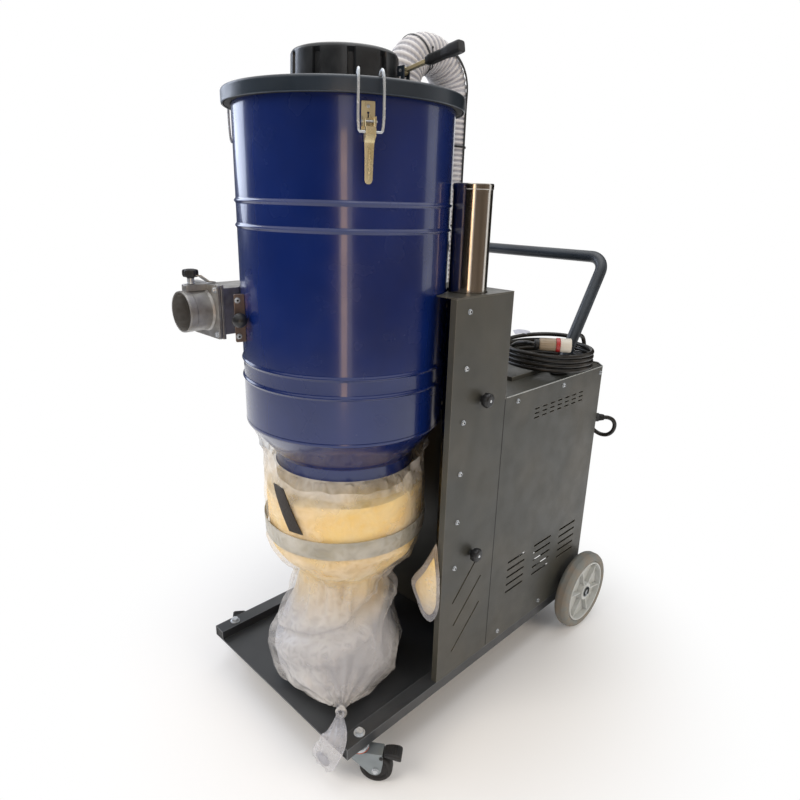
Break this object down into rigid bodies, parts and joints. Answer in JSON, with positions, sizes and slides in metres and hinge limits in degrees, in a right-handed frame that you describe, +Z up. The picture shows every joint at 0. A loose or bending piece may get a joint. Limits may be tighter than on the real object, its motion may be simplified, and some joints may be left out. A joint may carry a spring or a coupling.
{
  "type": "dust collector",
  "caption": "Wheeled dust collector: filter drum with cone over a dust bag and tray, lifting on guide posts in a column, with blower cabinet, suction hose, push handle and cord.",
  "frame": {"origin": "on the floor, under the centre of the box without the cord", "axes": "+X right, +Y rear (handle and large wheels), -Y front (inlet and tray), +Z up"},
  "size_m": [0.692, 1.111, 1.6149],
  "materials": {
    "charcoal_coat": "satin, fine texture",
    "gunmetal_coat": "matte, fine texture",
    "blue_enamel": "gloss",
    "handle_coat": "satin",
    "polished_steel": "polished",
    "zinc_plate": "zinc plated",
    "cast_aluminium": "cast",
    "black_plastic": "satin",
    "cord_rubber": "matte",
    "grey_rubber": "matte",
    "cream_plastic": "satin",
    "bag_film": "clear film over dust",
    "clear_hose": "ribbed, clear",
    "filter_felt": "matte",
    "beige_plug": "satin",
    "green_button": "gloss",
    "red_button": "gloss"
  },
  "bodies": {
    "root": {"blower_housing": "cast_aluminium", "blower_motor": "cast_aluminium", "cabinet_shell": "charcoal_coat", "cabinet_top": "charcoal_coat", "caster_raceway_left": "zinc_plate", "caster_raceway_right": "zinc_plate", "chassis_tray": "charcoal_coat", "column_channel": "charcoal_coat", "column_top": "charcoal_coat", "cord_tray": "charcoal_coat", "dust_bag_lower": "bag_film", "dust_bag_upper": "bag_film", "power_cord": "cord_rubber", "power_cord_coil": "cord_rubber", "power_gland": "black_plastic", "power_plug": "beige_plug", "push_handle": "handle_coat", "rear_axle": "polished_steel", "suction_pipe": "polished_steel", "switch_box": "black_plastic"},
    "drum": {"drum_shell": "blue_enamel", "hopper_cone": "blue_enamel", "filter_cartridge": "filter_felt", "lid": "gunmetal_coat", "lid_cap": "black_plastic", "lid_port": "gunmetal_coat", "inlet_pipe": "cast_aluminium", "inlet_adapter": "cast_aluminium", "inlet_bracket": "polished_steel", "guide_post_right": "polished_steel", "guide_post_left": "polished_steel", "drum_saddle_upper": "charcoal_coat", "drum_saddle_lower": "charcoal_coat", "latch_plate_right": "zinc_plate", "latch_plate_left": "zinc_plate", "suction_hose": "clear_hose"},
    "cleaning_lever": {"cleaning_lever": "zinc_plate", "lever_grip": "black_plastic"},
    "inlet_ball_knob": {"inlet_ball_knob": "black_plastic"},
    "inlet_star_knob": {"inlet_star_knob": "black_plastic"},
    "clamp_knob_upper": {"clamp_knob_upper": "black_plastic"},
    "clamp_knob_lower": {"clamp_knob_lower": "black_plastic"},
    "blower_rotor": {"blower_rotor": "cast_aluminium"},
    "start_button": {"start_button": "green_button"},
    "stop_button": {"stop_button": "red_button"},
    "isolator_knob": {"isolator_knob": "red_button"},
    "latch_lever_right": {"latch_lever_right": "zinc_plate"},
    "latch_bail_right": {"latch_bail_right": "zinc_plate"},
    "rear_wheel_right": {"rear_hub_right": "cream_plastic", "rear_tyre_right": "grey_rubber"},
    "caster_fork_right": {"caster_fork_right": "zinc_plate"},
    "caster_wheel_right": {"caster_wheel_right": "black_plastic"},
    "brake_pedal_right": {"brake_pedal_right": "black_plastic"},
    "latch_lever_left": {"latch_lever_left": "zinc_plate"},
    "latch_bail_left": {"latch_bail_left": "zinc_plate"},
    "rear_wheel_left": {"rear_hub_left": "cream_plastic", "rear_tyre_left": "grey_rubber"},
    "caster_fork_left": {"caster_fork_left": "zinc_plate"},
    "caster_wheel_left": {"caster_wheel_left": "black_plastic"},
    "brake_pedal_left": {"brake_pedal_left": "black_plastic"}
  },
  "joints": [
    {"name": "drum_lift", "type": "slide", "parent": "root", "child": "drum", "axis": [0, 0, 1], "range_m": [-0.2, 0], "deforming": ["suction_hose", "dust_bag_upper", "dust_bag_lower"]},
    {"name": "cleaning_lever_pull", "type": "hinge", "parent": "drum", "child": "cleaning_lever", "pos_m": [0.113, -0.1895, 1.5], "axis": [0, -1, 0], "range_deg": [0, 60]},
    {"name": "inlet_ball_knob_turn", "type": "hinge", "parent": "drum", "child": "inlet_ball_knob", "pos_m": [-0.04501, -0.49055, 1.0135], "axis": [0.9613, -0.2756, 0], "continuous": true},
    {"name": "inlet_star_knob_turn", "type": "hinge", "parent": "drum", "child": "inlet_star_knob", "pos_m": [-0.17, -0.5285, 1.095], "axis": [0, 0, 1], "continuous": true},
    {"name": "clamp_knob_upper_turn", "type": "hinge", "parent": "root", "child": "clamp_knob_upper", "pos_m": [0.3, -0.0865, 0.841], "axis": [1, 0, 0], "continuous": true},
    {"name": "clamp_knob_lower_turn", "type": "hinge", "parent": "root", "child": "clamp_knob_lower", "pos_m": [0.3, -0.0865, 0.449], "axis": [1, 0, 0], "continuous": true},
    {"name": "blower_spin", "type": "hinge", "parent": "root", "child": "blower_rotor", "pos_m": [0, 0.0825, 0.265], "axis": [0, 1, 0], "continuous": true},
    {"name": "start_button_press", "type": "slide", "parent": "root", "child": "start_button", "axis": [0, -1, 0], "range_m": [0, 0.004], "stiffness_N_per_m": 400, "springref_m": -0.002},
    {"name": "stop_button_press", "type": "slide", "parent": "root", "child": "stop_button", "axis": [0, -1, 0], "range_m": [0, 0.004], "stiffness_N_per_m": 400, "springref_m": -0.002},
    {"name": "isolator_turn", "type": "hinge", "parent": "root", "child": "isolator_knob", "pos_m": [0, 0.5425, 0.685], "axis": [0, 1, 0], "range_deg": [0, 90]},
    {"name": "latch_lever_right_open", "type": "hinge", "parent": "drum", "child": "latch_lever_right", "pos_m": [0.20871, -0.367, 1.386], "axis": [-0.5, -0.866, 0], "range_deg": [0, 110]},
    {"name": "latch_bail_right_follow", "type": "hinge", "parent": "latch_lever_right", "child": "latch_bail_right", "pos_m": [0.21954, -0.37325, 1.368], "axis": [-0.5, -0.866, 0], "range_deg": [-110, 0]},
    {"name": "latch_lever_left_open", "type": "hinge", "parent": "drum", "child": "latch_lever_left", "pos_m": [-0.20871, -0.367, 1.386], "axis": [-0.5, 0.866, 0], "range_deg": [0, 110]},
    {"name": "latch_bail_left_follow", "type": "hinge", "parent": "latch_lever_left", "child": "latch_bail_left", "pos_m": [-0.21954, -0.37325, 1.368], "axis": [-0.5, 0.866, 0], "range_deg": [-110, 0]},
    {"name": "rear_wheel_right_roll", "type": "hinge", "parent": "root", "child": "rear_wheel_right", "pos_m": [0.322, 0.4355, 0.12], "axis": [1, 0, 0], "continuous": true},
    {"name": "caster_right_swivel", "type": "hinge", "parent": "root", "child": "caster_fork_right", "pos_m": [0.264, -0.4275, 0.085], "axis": [0, 0, 1], "continuous": true},
    {"name": "caster_right_roll", "type": "hinge", "parent": "caster_fork_right", "child": "caster_wheel_right", "pos_m": [0.29595, -0.40343, 0.0375], "axis": [-0.6018, 0.7986, 0], "continuous": true},
    {"name": "brake_right_press", "type": "hinge", "parent": "caster_fork_right", "child": "brake_pedal_right", "pos_m": [0.30872, -0.3938, 0.0745], "axis": [-0.6018, 0.7986, 0], "range_deg": [0, 14]},
    {"name": "rear_wheel_left_roll", "type": "hinge", "parent": "root", "child": "rear_wheel_left", "pos_m": [-0.322, 0.4355, 0.12], "axis": [1, 0, 0], "continuous": true},
    {"name": "caster_left_swivel", "type": "hinge", "parent": "root", "child": "caster_fork_left", "pos_m": [-0.264, -0.4275, 0.085], "axis": [0, 0, 1], "continuous": true},
    {"name": "caster_left_roll", "type": "hinge", "parent": "caster_fork_left", "child": "caster_wheel_left", "pos_m": [-0.29595, -0.40343, 0.0375], "axis": [-0.6018, -0.7986, 0], "continuous": true},
    {"name": "brake_left_press", "type": "hinge", "parent": "caster_fork_left", "child": "brake_pedal_left", "pos_m": [-0.30872, -0.3938, 0.0745], "axis": [-0.6018, -0.7986, 0], "range_deg": [0, 14]}
  ],
  "couplings": [
    {"joint": "latch_bail_right_follow", "follows": "latch_lever_right_open", "ratio": -1},
    {"joint": "latch_bail_left_follow", "follows": "latch_lever_left_open", "ratio": -1}
  ]
}
